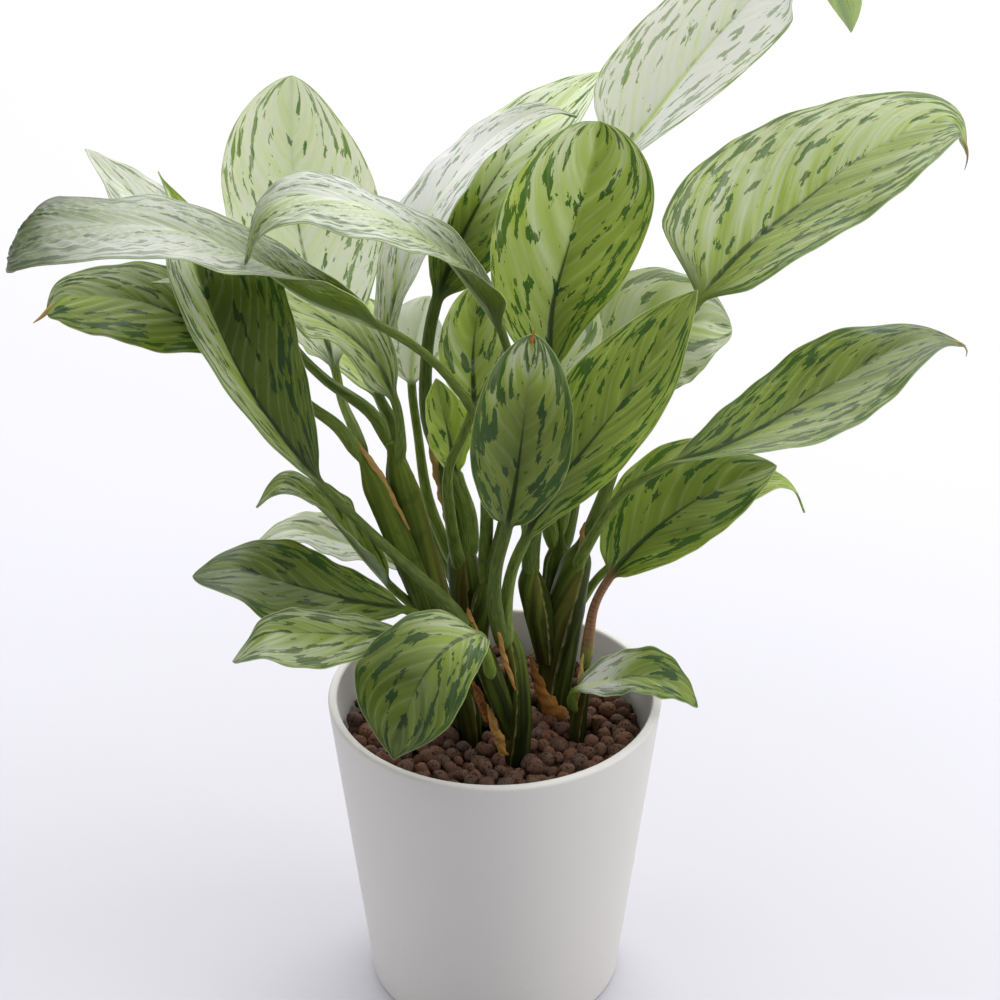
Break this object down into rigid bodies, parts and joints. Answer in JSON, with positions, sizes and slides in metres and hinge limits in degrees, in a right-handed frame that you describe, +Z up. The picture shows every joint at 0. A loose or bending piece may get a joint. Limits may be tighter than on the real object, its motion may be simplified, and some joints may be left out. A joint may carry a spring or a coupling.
{
  "type": "potted chinese evergreen",
  "caption": "Round tapered pot filled with clay pebbles, with arching shoots and broad pointed variegated leaves.",
  "frame": {"origin": "centre of the pot's flat underside", "axes": "+Z up out of the pot, -Y towards the side that the picture shows best, +X to its right"},
  "size_m": [0.4771, 0.26, 0.5868],
  "materials": {
    "pot": "fine matte glazed ceramic, off-white",
    "clay_pebbles": "matte expanded clay, brown",
    "shoot": "satin green sheaths with dry tan edges",
    "leaf": "satin leaf, pale silvery green with dark green streaks"
  },
  "bodies": {
    "root": {"pot": "pot", "clay_pebbles": "clay_pebbles", "shoot_front": "shoot", "shoot_left": "shoot", "shoot_middle": "shoot", "shoot_right": "shoot", "shoot_side": "shoot", "leaf_far_left": "leaf", "leaf_left_behind": "leaf", "leaf_hanging": "leaf", "leaf_left_low_tip": "leaf", "leaf_upright_left": "leaf", "leaf_left_inner": "leaf", "leaf_curling": "leaf", "leaf_silver_arch": "leaf", "leaf_shaded_arch": "leaf", "leaf_top": "leaf", "leaf_front_small": "leaf", "leaf_centre": "leaf", "leaf_slanting": "leaf", "leaf_right_upper": "leaf", "leaf_right_lower": "leaf", "leaf_low_right": "leaf", "leaf_low_right_behind": "leaf", "leaf_pale_behind": "leaf", "leaf_pale_strip": "leaf", "leaf_upright_pale": "leaf", "leaf_bright_inner": "leaf", "leaf_far_grey": "leaf", "leaf_low_curled": "leaf", "leaf_low_pale": "leaf", "leaf_low_dark": "leaf", "leaf_low_front_left": "leaf", "leaf_rim_drooping": "leaf", "leaf_rim_right": "leaf", "leaf_back_high": "leaf", "leaf_back_left": "leaf"}
  },
  "joints": []
}
